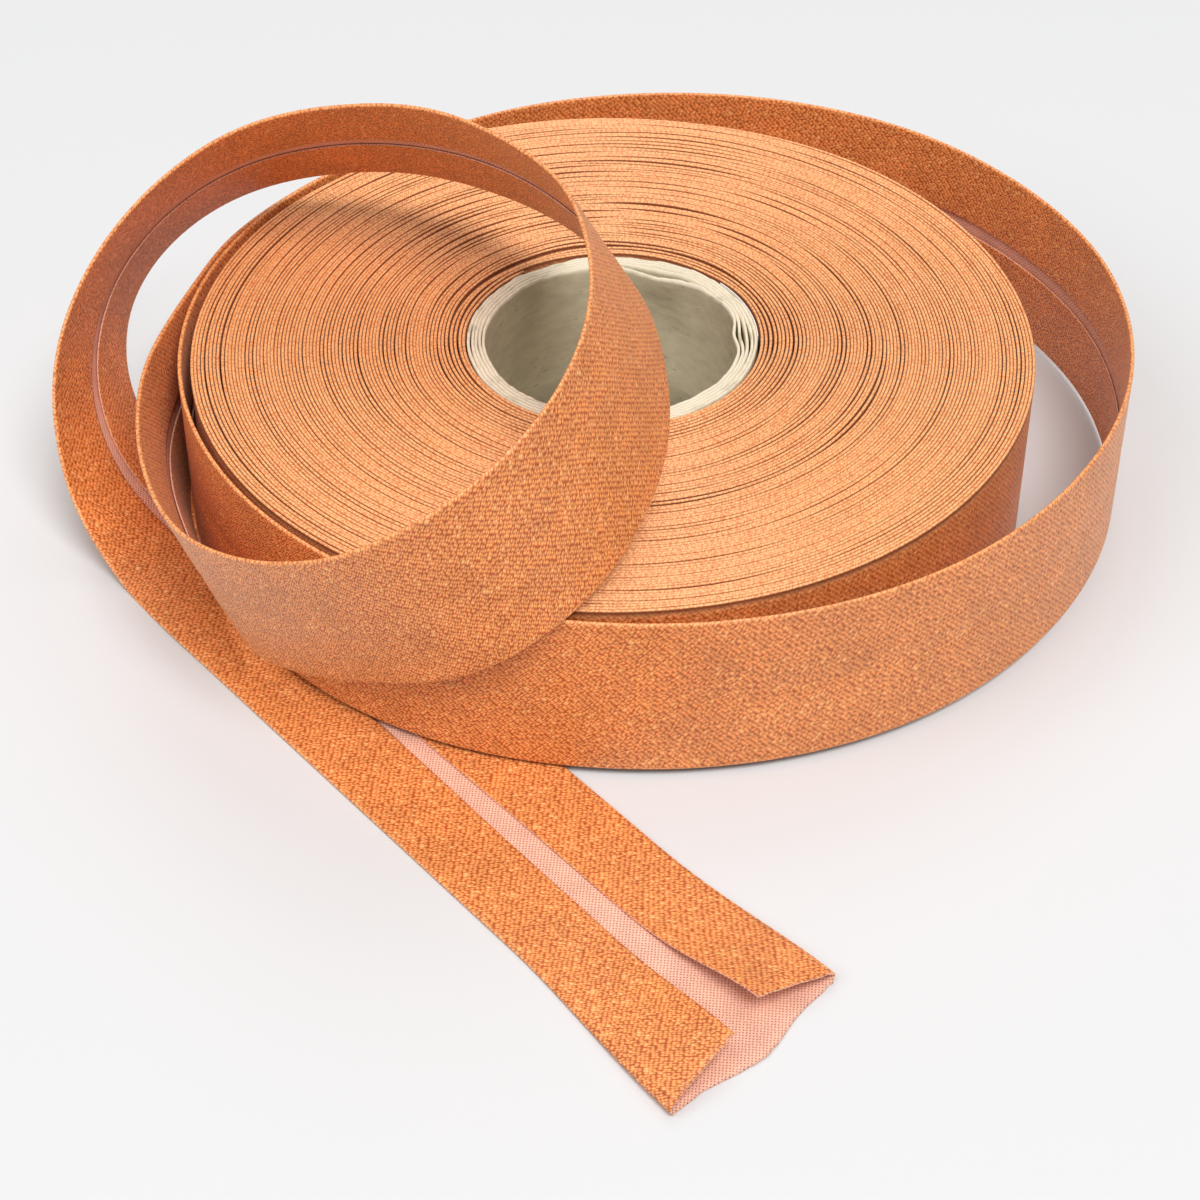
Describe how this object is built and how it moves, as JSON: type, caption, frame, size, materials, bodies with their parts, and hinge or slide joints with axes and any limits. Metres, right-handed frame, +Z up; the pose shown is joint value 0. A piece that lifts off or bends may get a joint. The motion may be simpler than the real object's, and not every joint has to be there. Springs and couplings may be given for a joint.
{
  "type": "bias binding tape roll",
  "caption": "Wound roll of folded satin bias tape on a paper core, with its free end looped over the pack and out along the table.",
  "frame": {"origin": "on the core's axis, at the core's lower rim, on the surface the roll stands on", "axes": "+Z up along the core's axis; -Y is the side the loop's front faces, and the tail runs out towards -Y and +X"},
  "size_m": [0.1533, 0.1854, 0.0599],
  "materials": {
    "satin": "copper-coloured satin, bias cut",
    "backing": "pale pink open weave, the satin's wrong side",
    "core_paper": "grey-brown kraft paper, uncoated",
    "adhesive_strip": "tissue tape, adhesive on both sides"
  },
  "bodies": {
    "loose_tape": {"outer_turn": "satin", "front_band": "satin", "right_band": "satin", "back_band": "satin", "rear_wrap": "satin", "loop_left": "satin", "loop_front": "satin", "loop_crest": "satin", "loop_rear": "satin", "loop_drop": "satin", "floor_run": "satin"},
    "roll": {"core_liner": "core_paper", "core_ply_2": "core_paper", "core_ply_3": "core_paper", "core_ply_4": "core_paper", "core_wrap": "core_paper", "starter_strip": "adhesive_strip", "wound_turns_1": "satin", "wound_turns_2": "satin", "wound_turns_3": "satin", "wound_turns_4": "satin"},
    "tail": {"tail_base": "backing"},
    "left_flap": {"tail_flap_left": "satin"},
    "right_flap": {"tail_flap_right": "satin"}
  },
  "joints": [
    {"name": "roll_spin", "type": "hinge", "parent": "loose_tape", "child": "roll", "pos_m": [0, 0, 0], "axis": [0, 0, 1], "continuous": true},
    {"name": "tail_lift", "type": "hinge", "parent": "loose_tape", "child": "tail", "pos_m": [-0.00797, -0.07809, 0.0012], "axis": [-0.766, -0.6428, 0], "range_deg": [0, 70]},
    {"name": "left_flap_open", "type": "hinge", "parent": "tail", "child": "left_flap", "pos_m": [-0.01735, -0.08636, 0.0004], "axis": [0.6172, -0.7868, 0], "range_deg": [0, 165]},
    {"name": "right_flap_open", "type": "hinge", "parent": "tail", "child": "right_flap", "pos_m": [0.0018, -0.07029, 0.0004], "axis": [-0.6676, 0.7445, 0], "range_deg": [0, 165]}
  ]
}
